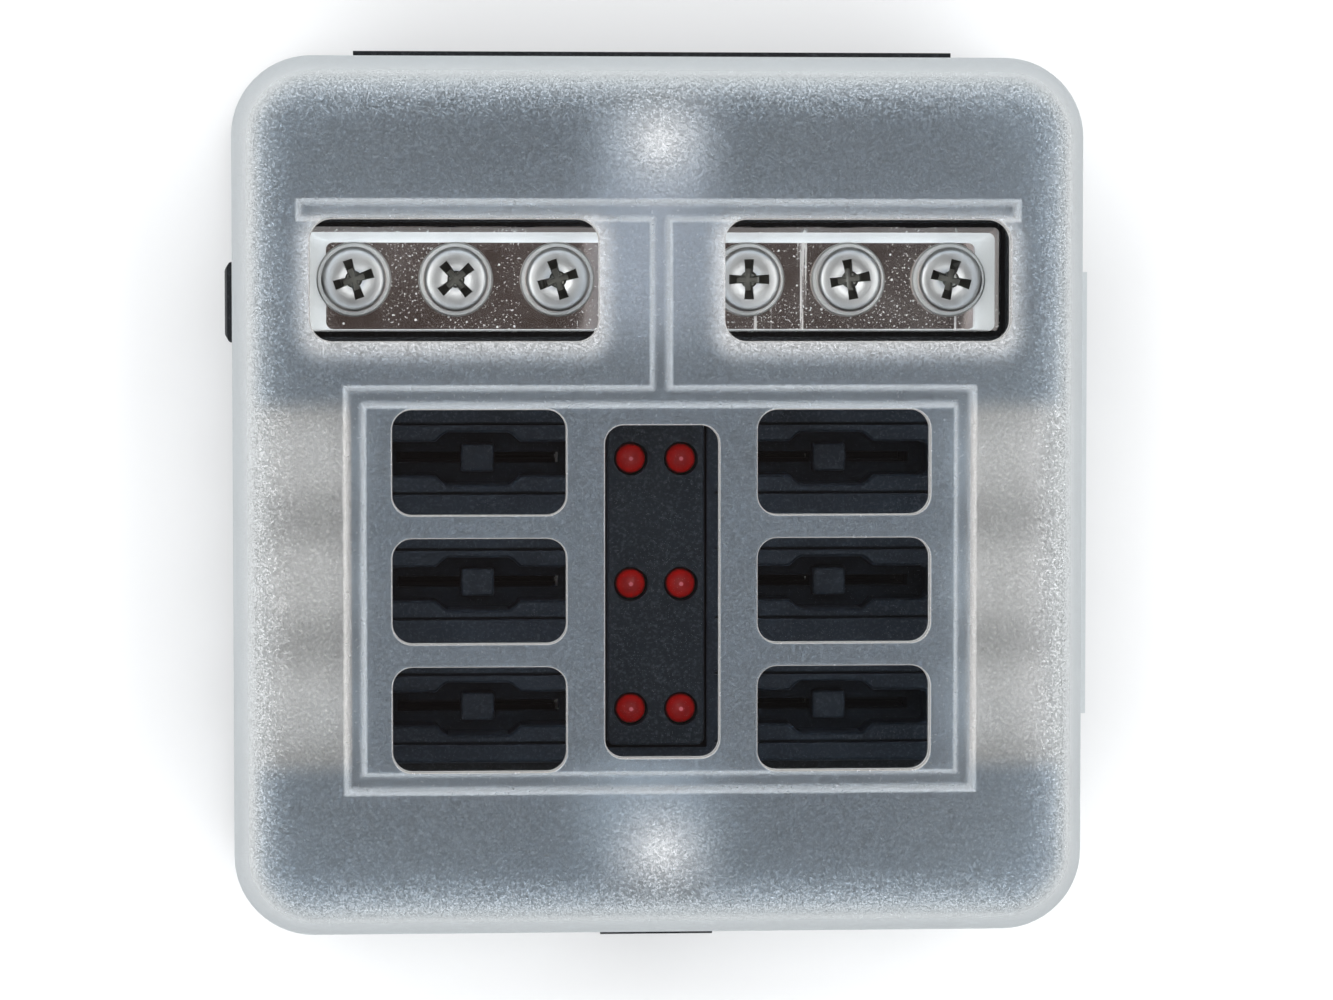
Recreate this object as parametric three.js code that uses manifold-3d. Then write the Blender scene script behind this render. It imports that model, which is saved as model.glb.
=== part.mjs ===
// Six-way blade-fuse panel with LED indicators and a negative bus, lying flat.
// Millimetres. Z = 0 is the mounting plane, +Z points to the cover's windows,
// +Y to the negative-bus end, and X = Y = 0 is the middle of the footprint.
import * as THREE from 'three';
import { mergeVertices } from 'three/addons/utils/BufferGeometryUtils.js';
import Module from 'manifold-3d';

const wasm = await Module();
wasm.setup();

// ---------------------------------------------------------------- driving dimensions

const REST_GAP = 0.3; // air between mouldings that rest on each other
const METAL_GAP = 0.1; // air between stacked metal pieces

const FOOT = { width: 85, length: 87.5, radius: 8, top: 3 };
const BODY = { width: 80, length: 82.6, radius: 6, top: 13 };
const COVER = {
  rim: 3.3, // height of the open rim
  top: 38, // outside of the lid
  fillet: 4.3, // radius where the walls turn into the lid
  wall: 1.8,
  lid: 2,
  radius: 7.8,
  rimWidth: 84.5,
  rimLength: 86.8,
  topWidth: 83.4,
  topLength: 85.9,
};
const CEILING = COVER.top - COVER.lid;

// Fuse ways: two columns of three, 12.5 apart
const ROWS = [3.45, -9.05, -21.55];
const SIDES = [-1, 1];
const SOCKET_X = 17.7; // middle of a socket from the centre line
const BLADE_X = 4.83; // middle of a blade from the middle of its fuse

const BLOCK = { halfWidth: 28.5, yMax: 9, yMin: -27, bottom: 13.3, top: 26 };
const SOCKET = { length: 19.3, width: 3.27, bulge: 5.15, bulgeLength: 6.4, seat: 22 };
const SLOT = { length: 6.6, width: 1.1 };
const POCKET = { length: 7.4, width: 3.8, top: 21 };

const BUS_Y = 21.3;
const BUS_SCREW_X = [-30, -19.8, -9.6, 9.6, 19.8, 30];
const BUS_BAR = { halfLength: 35.4, width: 10.6, bottom: 17.7, top: 20.7 };
const STUD_Y = 34.8;
const FEED_BAR = { bottom: 13.3, top: 14.8 };
const LOAD_PLATE = { x: 36, bottom: 17.2, top: 18.7, width: 8 };
const BARRIERS = [9.7, -2.8, -15.3, -27.8];

const M4 = { shank: 1.95, hole: 2.2, head: 3.25, headHeight: 1.85, length: 11 };
const M5 = { shank: 2.45, hole: 2.7, tip: 32 };
const WASHER = { radius: 3.75, height: 0.7 };
const LUG = { x: 35, y: 36.5, hole: 2.25, boss: 4, well: 5, floor: 4 };

const STRIP = { halfWidth: 4.85, yMax: 7.1, yMin: -25.2, top: 27, bottom: 21.2 };
const LED = { x: 2.5, radius: 1.5, bottom: 21, tip: 27.3 };
const BOARD = { bottom: 19.3, top: 20.9 };

const LATCH = { x: 41.6, y: 19, width: 8, bottom: 3.4, top: 25, hook: 1.2 };

// Clear panes let into the lid: [middle x, middle y, length, width, corner radius]
const PANE_RECESS = 0.5;
const WINDOWS = [
  [0, -9.15, 11.1, 32.4, 1.8],
  ...SIDES.map((side) => [side * 20.1, 21.1, 27.9, 11.8, 2.1]),
  ...SIDES.flatMap((side) => ROWS.map((y) => [side * 17.75, y, 16.85, 10.2, 1.9])),
];
const RIB = { bottom: 33.4, thickness: 1.4 };

// End walls of the base that fill notches in the cover's ends
const BUS_WALL = { halfWidth: 30, inner: 40.2, outer: 44.05, top: 23 };
const FEED_WALL = { halfWidth: 5.6, inner: 40.2, outer: 44.05, top: 28 };
const CABLE_HOLE = { radius: 3.3, studRadius: 3.6, sill: 1.2, x: [8.6, 16.6, 24.6] };

// ---------------------------------------------------------------- solids from geometry

/** A closed three.js geometry as a solid that can be joined and cut. */
function toSolid(geometry) {
  const bare = geometry.clone();
  bare.deleteAttribute('normal');
  bare.deleteAttribute('uv');
  const merged = mergeVertices(bare);
  const index = merged.index.array;
  const triangles = [];
  for (let i = 0; i < index.length; i += 3) {
    const [a, b, c] = [index[i], index[i + 1], index[i + 2]];
    if (a !== b && b !== c && c !== a) triangles.push(a, b, c);
  }
  return new wasm.Manifold(new wasm.Mesh({
    numProp: 3,
    vertProperties: new Float32Array(merged.attributes.position.array),
    triVerts: new Uint32Array(triangles),
  }));
}

/** A solid back as a geometry with flat shading normals. */
function toGeometry(solid) {
  const mesh = solid.getMesh();
  const geometry = new THREE.BufferGeometry();
  geometry.setAttribute('position', new THREE.BufferAttribute(mesh.vertProperties, 3));
  geometry.setIndex(new THREE.BufferAttribute(mesh.triVerts, 1));
  geometry.computeVertexNormals();
  return geometry;
}

const joined = (solids) => solids.reduce((all, solid) => all.add(solid));
const cut = (solid, tools) => solid.subtract(joined(tools));

/** Box between two corners. */
function block([x0, y0, z0], [x1, y1, z1]) {
  const box = new THREE.BoxGeometry(x1 - x0, y1 - y0, z1 - z0);
  return toSolid(box.translate((x0 + x1) / 2, (y0 + y1) / 2, (z0 + z1) / 2));
}

/** Upright cylinder or polygon post. */
function post(x, y, radius, z0, z1, sides = 16) {
  const cylinder = new THREE.CylinderGeometry(radius, radius, z1 - z0, sides);
  cylinder.rotateX(Math.PI / 2);
  return toSolid(cylinder.translate(x, y, (z0 + z1) / 2));
}

/** Rectangle outline with rounded corners, centred on x, y. */
function roundedRectangle(x, y, length, width, radius) {
  const [a, b] = [length / 2, width / 2];
  const shape = new THREE.Shape();
  shape.moveTo(x + a, y - b + radius);
  shape.absarc(x + a - radius, y + b - radius, radius, 0, Math.PI / 2);
  shape.absarc(x - a + radius, y + b - radius, radius, Math.PI / 2, Math.PI);
  shape.absarc(x - a + radius, y - b + radius, radius, Math.PI, Math.PI * 1.5);
  shape.absarc(x + a - radius, y - b + radius, radius, Math.PI * 1.5, Math.PI * 2);
  return shape;
}

/** Upright prism of an outline. */
function prism(shape, z0, z1, curveSegments = 5) {
  const geometry = new THREE.ExtrudeGeometry(shape, {
    depth: z1 - z0, bevelEnabled: false, curveSegments,
  });
  return toSolid(geometry.translate(0, 0, z0));
}

/** Side profile given as [x, z] corners, made into a strip lying along Y. */
function strip(profile, y, width) {
  const shape = new THREE.Shape(profile.map(([x, z]) => new THREE.Vector2(x, z)));
  const geometry = new THREE.ExtrudeGeometry(shape, { depth: width, bevelEnabled: false });
  return toSolid(geometry.rotateX(Math.PI / 2).translate(0, y + width / 2, 0));
}

/** Solid turned about the vertical axis from [radius, z] points. */
function turned(profile, sides) {
  const points = profile.map(([radius, z]) => new THREE.Vector2(radius, z));
  return toSolid(new THREE.LatheGeometry(points, sides).rotateX(Math.PI / 2));
}

/** Solid skinned over rounded-rectangle sections, listed from low to high. */
function loft(sections) {
  const arcSteps = 6;
  const positions = [];
  for (const { z, length, width, radius } of sections) {
    for (let corner = 0; corner < 4; corner += 1) {
      const cx = (corner === 0 || corner === 3 ? 1 : -1) * (length / 2 - radius);
      const cy = (corner < 2 ? 1 : -1) * (width / 2 - radius);
      for (let i = 0; i <= arcSteps; i += 1) {
        const angle = (corner + i / arcSteps) * Math.PI / 2;
        positions.push(cx + radius * Math.cos(angle), cy + radius * Math.sin(angle), z);
      }
    }
  }
  const ring = 4 * (arcSteps + 1);
  const index = [];
  for (let s = 0; s + 1 < sections.length; s += 1) {
    for (let i = 0; i < ring; i += 1) {
      const a = s * ring + i;
      const b = s * ring + (i + 1) % ring;
      index.push(a, b, b + ring, a, b + ring, a + ring);
    }
  }
  const last = (sections.length - 1) * ring;
  for (let i = 1; i + 1 < ring; i += 1) {
    index.push(0, i + 1, i, last, last + i, last + i + 1);
  }
  const geometry = new THREE.BufferGeometry();
  geometry.setAttribute('position', new THREE.Float32BufferAttribute(positions, 3));
  geometry.setIndex(index);
  return toSolid(geometry);
}

// ---------------------------------------------------------------- materials

const finish = (color, roughness, metalness, more = {}) => new THREE.MeshStandardMaterial({
  color, roughness, metalness, ...more,
});
const MATERIALS = {
  blackPlastic: finish('#1c1f23', 0.45, 0),
  blockPlastic: finish('#22262b', 0.5, 0),
  frosted: finish('#b9c2c8', 0.4, 0, { transparent: true, opacity: 0.45 }),
  nickel: finish('#b8b6b0', 0.22, 1),
  tin: finish('#a9a8a2', 0.35, 1),
  steel: finish('#9a9c9e', 0.3, 1),
  brass: finish('#a98f55', 0.35, 1),
  board: finish('#1d4a2c', 0.6, 0),
  redLens: finish('#8e1a14', 0.2, 0),
};

const panel = new THREE.Group();

/** Put one named piece in the panel. */
function addPiece(name, shape, material, x = 0, y = 0, turn = 0) {
  const geometry = shape.isBufferGeometry ? shape : toGeometry(shape);
  const mesh = new THREE.Mesh(geometry, material);
  mesh.name = name;
  mesh.position.set(x, y, 0);
  mesh.rotation.z = turn;
  panel.add(mesh);
}

// ---------------------------------------------------------------- base housing

const BLOCK_SCREWS = [[-SOCKET_X, -2.8], [SOCKET_X, -15.3]];
const LOAD_TERMINALS = SIDES.flatMap((side) => ROWS.map((y) => ({ side, y })));
const LUGS = SIDES.flatMap((sx) => SIDES.map((sy) => [sx * LUG.x, sy * LUG.y]));
const BLIND_FLOOR = 8.5; // bottom of the screw holes that start in the pedestals

/** Weight-saving pockets in the underside, left out wherever something else is. */
function coringPockets() {
  const [pitchX, pitchY, length, width, depth] = [10.6, 19, 8.2, 16, 7];
  const kept = [
    ...BLOCK_SCREWS.map(([x, y]) => [x, y, 3.6]),
    [0, STUD_Y, 5.6],
    [0, -STUD_Y, 5.6],
    ...LUGS.map(([x, y]) => [x, y, 3.4]),
  ];
  const pockets = [];
  for (let column = -3; column <= 3; column += 1) {
    for (let row = -1.5; row <= 1.5; row += 1) {
      const [x, y] = [column * pitchX, row * pitchY];
      const blocked = kept.some(([px, py, r]) => (
        Math.abs(px - x) < length / 2 + r && Math.abs(py - y) < width / 2 + r
      ));
      if (!blocked) {
        const low = [x - length / 2, y - width / 2, -1];
        pockets.push(block(low, [x + length / 2, y + width / 2, depth]));
      }
    }
  }
  return pockets;
}

/** End wall with round holes for the cables, each given as [x, radius]. */
function endWall({ halfWidth, inner, outer, top }, side, holes) {
  const [y0, y1] = side > 0 ? [inner, outer] : [-outer, -inner];
  const wall = block([-halfWidth, y0, 0], [halfWidth, y1, top]);
  return cut(wall, holes.map(([x, radius]) => {
    const bore = new THREE.CylinderGeometry(radius, radius, 2 * (y1 - y0), 12);
    return toSolid(bore.translate(x, (y0 + y1) / 2, BODY.top + radius + CABLE_HOLE.sill));
  }));
}

function baseHousing() {
  const foot = prism(roundedRectangle(0, 0, FOOT.width, FOOT.length, FOOT.radius), 0, FOOT.top);
  const body = prism(
    roundedRectangle(0, 0, BODY.width, BODY.length, BODY.radius), FOOT.top - 1, BODY.top,
  );
  const deck = BODY.top - 1;
  const shelf = BUS_BAR.bottom - REST_GAP;
  const [busBack, busFront] = [BUS_Y + 7, BUS_Y - 7];
  const busEnd = BUS_BAR.halfLength + 2;
  const pedestal = block([-busEnd, busFront, deck], [busEnd, busBack, shelf]);
  const curbs = [
    block([-busEnd, busFront, deck], [busEnd, busFront + 1.2, shelf + 2]),
    ...SIDES.map((side) => {
      const [a, b] = [side * 7, side * busEnd].sort((p, q) => p - q);
      return block([a, busBack - 1.2, deck], [b, busBack, shelf + 2]);
    }),
    ...SIDES.map((side) => {
      const [a, b] = [side * (busEnd - 1.4), side * busEnd].sort((p, q) => p - q);
      return block([a, busFront, deck], [b, busBack, shelf + 2.6]);
    }),
  ];
  const studSeat = block([-8, busBack - 1, deck], [8, 39, shelf]);
  const loadSeats = LOAD_TERMINALS.map(({ side, y }) => {
    const [a, b] = [side * 32.9, side * (BODY.width / 2 - 0.1)].sort((p, q) => p - q);
    return block([a, y - 4.8, deck], [b, y + 4.8, LOAD_PLATE.bottom - REST_GAP]);
  });
  const barriers = SIDES.flatMap((side) => BARRIERS.map((y) => {
    const [a, b] = [side * 29.3, side * (BODY.width / 2 - 0.1)].sort((p, q) => p - q);
    return block([a, y - 0.8, deck], [b, y + 0.8, 23]);
  }));
  const { radius, studRadius } = CABLE_HOLE;
  const busHoles = SIDES.flatMap((side) => CABLE_HOLE.x.map((x) => [side * x, radius]));
  const walls = [
    endWall(BUS_WALL, 1, [...busHoles, [0, studRadius]]),
    endWall(FEED_WALL, -1, [[0, studRadius]]),
  ];

  const hexPocket = (y) => post(0, y, 5, -1, 8, 6);
  const cuts = [
    ...coringPockets(),
    ...LUGS.map(([x, y]) => post(x, y, LUG.well, LUG.floor - 0.5, 50, 14)),
    ...LUGS.map(([x, y]) => post(x, y, LUG.hole, -1, 10, 12)),
    ...BUS_SCREW_X.map((x) => post(x, BUS_Y, M4.hole + 0.1, BLIND_FLOOR, 50, 12)),
    ...LOAD_TERMINALS.map(({ side, y }) => (
      post(side * LOAD_PLATE.x, y, M4.hole + 0.1, BLIND_FLOOR, 50, 12)
    )),
    ...SIDES.map((side) => hexPocket(side * STUD_Y)),
    ...SIDES.map((side) => post(0, side * STUD_Y, M5.hole, 7, 50, 12)),
    ...BLOCK_SCREWS.map(([x, y]) => post(x, y, 3.2, -1, 6.6, 12)),
    ...BLOCK_SCREWS.map(([x, y]) => post(x, y, 1.7, 6, 50, 12)),
  ];
  // a raised ring round each mounting hole takes the screw head
  const bosses = LUGS.map(([x, y]) => (
    cut(post(x, y, LUG.boss, LUG.floor - 1, LUG.floor), [post(x, y, LUG.hole, 0, 10, 12)])
  ));
  const solid = joined([foot, body, pedestal, ...curbs, studSeat, ...loadSeats, ...barriers]);
  return cut(solid.add(joined(walls)), cuts).add(joined(bosses));
}

addPiece('base_housing', baseHousing(), MATERIALS.blackPlastic);

// ---------------------------------------------------------------- fuse block

/** Outline of a fuse recess: a long slot with a wider middle. */
function socketOutline(x, y) {
  const [half, thin, wide] = [SOCKET.length / 2, SOCKET.width / 2, SOCKET.bulge / 2];
  const bulge = SOCKET.bulgeLength / 2;
  const corner = 0.7;
  const flare = 1;
  const quarter = [
    [half, 0], [half, thin - corner], [half - corner, thin],
    [bulge + flare, thin], [bulge, wide], [0, wide],
  ];
  const mirror = (points, sx, sy) => points.map(([px, py]) => [px * sx, py * sy]);
  const outline = [
    ...quarter,
    ...mirror(quarter, -1, 1).reverse().slice(1),
    ...mirror(quarter, -1, -1).slice(1),
    ...mirror(quarter, 1, -1).reverse().slice(1, -1),
  ];
  return new THREE.Shape(outline.map(([px, py]) => new THREE.Vector2(x + px, y + py)));
}

function fuseBlock() {
  const { halfWidth, yMax, yMin, bottom, top } = BLOCK;
  const middle = (yMax + yMin) / 2;
  const outline = roundedRectangle(0, middle, 2 * halfWidth, yMax - yMin, 1.5);
  const cuts = [
    block([-5.15, -25.5, BOARD.bottom - REST_GAP], [5.15, 7.4, 50]), // LED channel
    block([-4.5, yMin - 1, 0], [4.5, 6.5, FEED_BAR.top + REST_GAP]), // feed bar tunnel
    ...BLOCK_SCREWS.map(([x, y]) => post(x, y, 1.6, 0, 20.5, 12)),
  ];
  for (const y of ROWS) {
    cuts.push(block([-16.6, y - 3.4, 0], [16.6, y + 3.4, FEED_BAR.top + REST_GAP]));
    for (const side of SIDES) {
      const x = side * SOCKET_X;
      cuts.push(prism(socketOutline(x, y), SOCKET.seat, 50));
      for (const blade of [x - BLADE_X, x + BLADE_X]) {
        cuts.push(
          block([blade - SLOT.length / 2, y - SLOT.width / 2, 0],
            [blade + SLOT.length / 2, y + SLOT.width / 2, 50]),
          block([blade - POCKET.length / 2, y - POCKET.width / 2, 0],
            [blade + POCKET.length / 2, y + POCKET.width / 2, POCKET.top]),
        );
      }
      const [a, b] = [side * (SOCKET_X + 1.2), side * (halfWidth + 1)].sort((p, q) => p - q);
      cuts.push(block([a, y - 3.8, 0], [b, y + 3.8, FEED_BAR.top + REST_GAP]));
    }
  }
  return cut(prism(outline, bottom, top), cuts);
}

addPiece('fuse_block', fuseBlock(), MATERIALS.blockPlastic);

// ---------------------------------------------------------------- cover

/** Outer or inner skin of the cover, pulled in by an inset. */
function coverSkin(inset, bottom, top) {
  const { rim, fillet, rimWidth, rimLength, topWidth, topLength, radius } = COVER;
  const shoulder = COVER.top - fillet;
  const bend = fillet - inset;
  const section = (z, share, shrink) => ({
    z,
    length: rimWidth + (topWidth - rimWidth) * share - 2 * (inset + shrink),
    width: rimLength + (topLength - rimLength) * share - 2 * (inset + shrink),
    radius: radius - inset - shrink * 0.75,
  });
  const start = section(bottom, (bottom - rim) / (shoulder - rim), 0);
  const steps = 4;
  const bends = Array.from({ length: steps + 1 }, (_, i) => {
    const angle = (i / steps) * Math.PI / 2;
    const z = top - bend + bend * Math.sin(angle);
    return section(z, 1, bend * (1 - Math.cos(angle)));
  });
  return loft([start, ...bends]);
}

function cover() {
  const shell = coverSkin(0, COVER.rim, COVER.top);
  const hollow = coverSkin(COVER.wall, COVER.rim - 1, CEILING);
  const inside = (solid) => solid.intersect(coverSkin(0.5, COVER.rim, COVER.top - 0.5));

  const t = RIB.thickness;
  const bar = (x0, y0, x1, y1) => block([x0, y0, RIB.bottom], [x1, y1, CEILING + 0.5]);
  const ribs = [
    bar(-35, 27.2, 34.8, 27.2 + t), // cross-bar above the bus windows
    bar(-t / 2, 9, t / 2, 28), // upright between the bus windows
    bar(-30.5, 10.5 - t, 30.5, 10.5), // ring round the fuse and LED windows
    bar(-30.5, -28.6, 30.5, -28.6 + t),
    bar(-30.5, -28.6, -30.5 + t, 10.5),
    bar(30.5 - t, -28.6, 30.5, 10.5),
  ];
  const recesses = WINDOWS.map(([x, y, length, width, radius]) => prism(
    roundedRectangle(x, y, length, width, radius), COVER.top - PANE_RECESS, COVER.top + 1, 3,
  ));
  // pry ledge on the right wall
  const ledge = block([COVER.topWidth / 2 - 1, -22, 27], [42.8, 22, 30]);

  const low = COVER.rim - 2;
  const past = 50;
  const notches = [
    ...SIDES.map((side) => {
      const [a, b] = [side * 38, side * past].sort((p, q) => p - q);
      return block([a, LATCH.y - 4.6, low], [b, LATCH.y + 4.6, LATCH.top + 0.6]);
    }),
    ...LOAD_TERMINALS.map(({ side, y }) => {
      const [a, b] = [side * 38, side * past].sort((p, q) => p - q);
      return block([a, y - 4, low], [b, y + 4, 24]);
    }),
    block([-BUS_WALL.halfWidth - 0.5, 39, low], [BUS_WALL.halfWidth + 0.5, past, BUS_WALL.top + 0.4]),
    block([-FEED_WALL.halfWidth - 0.5, -past, low],
      [FEED_WALL.halfWidth + 0.5, -39, FEED_WALL.top + 0.4]),
  ];
  const solid = shell.add(ledge).subtract(hollow).add(inside(joined(ribs)));
  return cut(solid, [...recesses, ...notches]);
}

addPiece('cover', cover(), MATERIALS.frosted);

// ---------------------------------------------------------------- latch fingers

/** Springy finger standing on the foot, hook at its top, for the right-hand side. */
function latchFinger() {
  const { x, width, bottom, top, hook } = LATCH;
  const [inner, outer, tip] = [x - 0.6, x + 0.6, x + hook];
  const profile = [
    [inner, bottom], [outer, bottom], [outer, top - 4], [tip, top - 2.8],
    [tip, top - 0.8], [outer + 0.3, top], [inner, top],
  ];
  const half = width / 2;
  const plan = new THREE.Shape([
    [inner - 1, -half], [outer + 0.1, -half], [tip + 0.1, -half + 0.9],
    [tip + 0.1, half - 0.9], [outer + 0.1, half], [inner - 1, half],
  ].map(([px, py]) => new THREE.Vector2(px, py)));
  return strip(profile, 0, width).intersect(prism(plan, 0, top + 1));
}

const finger = toGeometry(latchFinger());
const LATCH_NAMES = { 1: 'latch_right', '-1': 'latch_left' };
for (const side of SIDES) {
  const turn = side > 0 ? 0 : Math.PI;
  addPiece(LATCH_NAMES[side], finger, MATERIALS.blackPlastic, 0, LATCH.y, turn);
}

// ---------------------------------------------------------------- bus bars and contacts

function negativeBus() {
  const { halfLength, width, bottom, top } = BUS_BAR;
  const bar = prism(roundedRectangle(0, BUS_Y, 2 * halfLength, width, 0.6), bottom, top, 1);
  const tab = block([-5.5, BUS_Y, bottom], [5.5, STUD_Y + 4.4, top]);
  return cut(bar.add(tab), [
    ...BUS_SCREW_X.map((x) => post(x, BUS_Y, M4.hole, 0, 50, 12)),
    post(0, STUD_Y, M5.hole, 0, 50, 12),
  ]);
}

function feedBar() {
  const { bottom, top } = FEED_BAR;
  const stem = block([-4, -39, bottom], [4, 6, top]);
  const pad = block([-6, -39.4, bottom], [6, -29, top]);
  const arms = ROWS.map((y) => block([-16.2, y - 3.1, bottom], [16.2, y + 3.1, top]));
  return cut(joined([stem, pad, ...arms]), [post(0, -STUD_Y, M5.hole, 0, 50, 12)]);
}

addPiece('negative_bus', negativeBus(), MATERIALS.nickel);
addPiece('positive_bus', feedBar(), MATERIALS.tin);

/** Two spring leaves either side of a fuse blade, joined below it. */
function clip(x, foot) {
  const half = 3.1;
  const leaf = (y0, y1) => block([x - half, y0, foot], [x + half, y1, POCKET.top - 0.3]);
  return joined([
    block([x - half, -1, foot], [x + half, 1, foot + 0.45]),
    leaf(-1, -0.45), leaf(0.45, 1),
  ]);
}

const feedClip = toGeometry(clip(0, FEED_BAR.top + METAL_GAP));

/** Contact, strip and screw plate of one load terminal, for the right-hand side. */
function loadTerminal() {
  const { x, bottom, top, width } = LOAD_PLATE;
  const [low, high] = [FEED_BAR.bottom, FEED_BAR.top];
  const inner = SOCKET_X + BLADE_X - 3.1;
  const link = strip([
    [inner, low], [30, low], [31.9, bottom], [x + 3.8, bottom],
    [x + 3.8, top], [31.1, top], [29.2, high], [inner, high],
  ], 0, 6.4);
  const plate = block([x - 3.6, -width / 2, bottom], [x + 3.8, width / 2, top]);
  const contact = clip(SOCKET_X + BLADE_X, high - 0.2);
  return cut(joined([link, plate, contact]), [post(x, 0, M4.hole, 0, 50, 12)]);
}

const terminal = toGeometry(loadTerminal());
const sideName = (side) => (side < 0 ? 'left' : 'right');
LOAD_TERMINALS.forEach(({ side, y }, i) => {
  const way = `${sideName(side)}_${(i % ROWS.length) + 1}`;
  const feedX = side * (SOCKET_X - BLADE_X);
  addPiece(`feed_contact_${way}`, feedClip, MATERIALS.brass, feedX, y);
  addPiece(`load_terminal_${way}`, terminal, MATERIALS.tin, 0, y, side > 0 ? 0 : Math.PI);
});

// ---------------------------------------------------------------- terminal screws

/** Pan-head screw with a crossed recess, head seated at the given height. */
function panScrew(seat) {
  const { shank, head, headHeight, length } = M4;
  const solid = turned([
    [0, seat - length], [shank - 0.5, seat - length], [shank, seat - length + 0.6],
    [shank, seat], [head, seat], [head, seat + 0.8],
    [head - 1.1, seat + headHeight], [0, seat + headHeight],
  ], 12);
  const [arm, half, depth] = [1.9, 0.42, 1.2];
  const z0 = seat + headHeight - depth;
  return cut(solid, [
    block([-arm, -half, z0], [arm, half, 50]),
    block([-half, -arm, z0], [half, arm, 50]),
  ]);
}

/** Flat washer resting on a plate. */
function washer(plate) {
  const low = plate + METAL_GAP;
  return cut(post(0, 0, WASHER.radius, low, low + WASHER.height, 14), [
    post(0, 0, M4.hole, 0, 50, 10),
  ]);
}

const screwSeat = (plate) => plate + 2 * METAL_GAP + WASHER.height;
const busScrew = toGeometry(panScrew(screwSeat(BUS_BAR.top)));
const busWasher = toGeometry(washer(BUS_BAR.top));
const loadScrew = toGeometry(panScrew(screwSeat(LOAD_PLATE.top)));
const loadWasher = toGeometry(washer(LOAD_PLATE.top));

// how far each recess happens to be turned, in degrees
const BUS_SCREW_TURNS = [18, 40, 18, 0, 10, -15];
BUS_SCREW_X.forEach((x, i) => {
  const turn = THREE.MathUtils.degToRad(BUS_SCREW_TURNS[i]);
  addPiece(`bus_screw_${i + 1}`, busScrew, MATERIALS.steel, x, BUS_Y, turn);
  addPiece(`bus_washer_${i + 1}`, busWasher, MATERIALS.steel, x, BUS_Y);
});
LOAD_TERMINALS.forEach(({ side, y }, i) => {
  const way = `${sideName(side)}_${(i % ROWS.length) + 1}`;
  const turn = THREE.MathUtils.degToRad(25 * i);
  addPiece(`load_screw_${way}`, loadScrew, MATERIALS.steel, side * LOAD_PLATE.x, y, turn);
  addPiece(`load_washer_${way}`, loadWasher, MATERIALS.steel, side * LOAD_PLATE.x, y);
});

// ---------------------------------------------------------------- studs and nuts

const studShape = joined([post(0, 0, 4.6, 4.2, 7.7, 6), turned([
  [0, 7], [M5.shank, 7], [M5.shank, M5.tip - 0.8], [M5.shank - 0.6, M5.tip], [0, M5.tip],
], 14)]);
const stud = toGeometry(studShape);

/** Spring washer and nut stacked on a bus pad at the given height. */
function nutStack(name, plate, y) {
  const low = plate + METAL_GAP;
  const [thick, nutHeight] = [1.2, 4];
  const ring = cut(post(0, 0, 4.4, low, low + thick, 18), [post(0, 0, M5.hole, 0, 50, 12)]);
  const split = block([2, -0.35, 0], [5, 0.35, 50]);
  const nutLow = low + thick + METAL_GAP;
  const crowned = turned([
    [0, nutLow], [4.1, nutLow], [4.65, nutLow + 0.5], [4.65, nutLow + nutHeight - 0.5],
    [4.1, nutLow + nutHeight], [0, nutLow + nutHeight],
  ], 18);
  const hexagon = post(0, 0, 4.6, nutLow - 1, nutLow + nutHeight + 1, 6);
  const nut = cut(crowned.intersect(hexagon), [post(0, 0, M5.hole, 0, 50, 12)]);
  addPiece(`${name}_lock_washer`, ring.subtract(split), MATERIALS.steel, 0, y);
  addPiece(`${name}_nut`, nut, MATERIALS.steel, 0, y);
}

addPiece('negative_stud', stud, MATERIALS.steel, 0, STUD_Y);
addPiece('positive_stud', stud, MATERIALS.steel, 0, -STUD_Y);
nutStack('negative', BUS_BAR.top, STUD_Y);
nutStack('positive', FEED_BAR.top, -STUD_Y);

// ---------------------------------------------------------------- LED strip

function ledBezel() {
  const { halfWidth, yMax, yMin, top, bottom } = STRIP;
  const middle = (yMax + yMin) / 2;
  const outer = roundedRectangle(0, middle, 2 * halfWidth, yMax - yMin, 0.8);
  const [wall, lid] = [0.6, 2];
  return cut(prism(outer, bottom, top, 2), [
    block([-halfWidth + wall, yMin + wall, 0], [halfWidth - wall, yMax - wall, top - lid]),
    ...LOAD_TERMINALS.map(({ side, y }) => post(side * LED.x, y, LED.radius + 0.2, 0, 50, 12)),
  ]);
}

const led = toGeometry(turned([
  [0, LED.bottom], [1.7, LED.bottom], [1.7, LED.bottom + 1], [LED.radius, LED.bottom + 1],
  [LED.radius, LED.tip - 1.2], [1, LED.tip - 0.3], [0, LED.tip],
], 10));

addPiece('led_bezel', ledBezel(), MATERIALS.blackPlastic);
addPiece('led_board', block([-4.3, -24.6, BOARD.bottom], [4.3, 6.5, BOARD.top]), MATERIALS.board);
LOAD_TERMINALS.forEach(({ side, y }, i) => {
  addPiece(`led_${sideName(side)}_${(i % ROWS.length) + 1}`, led, MATERIALS.redLens, side * LED.x, y);
});

// ---------------------------------------------------------------- screws under the fuse block

const blockScrew = toGeometry(cut(turned([
  [0, 4], [2.9, 4], [2.9, 5.4], [2.4, 6.3], [1.4, 6.3], [1.4, 19.4], [0, 20.2],
], 12), [block([-1.7, -0.4, 0], [1.7, 0.4, 5]), block([-0.4, -1.7, 0], [0.4, 1.7, 5])]));
BLOCK_SCREWS.forEach(([x, y], i) => {
  addPiece(`block_screw_${i + 1}`, blockScrew, MATERIALS.steel, x, y);
});

export default panel;
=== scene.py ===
"""Looks of the six-way fuse panel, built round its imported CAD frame."""

import math
from functools import partial

import bmesh
import bpy
from mathutils import Matrix, Vector


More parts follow.
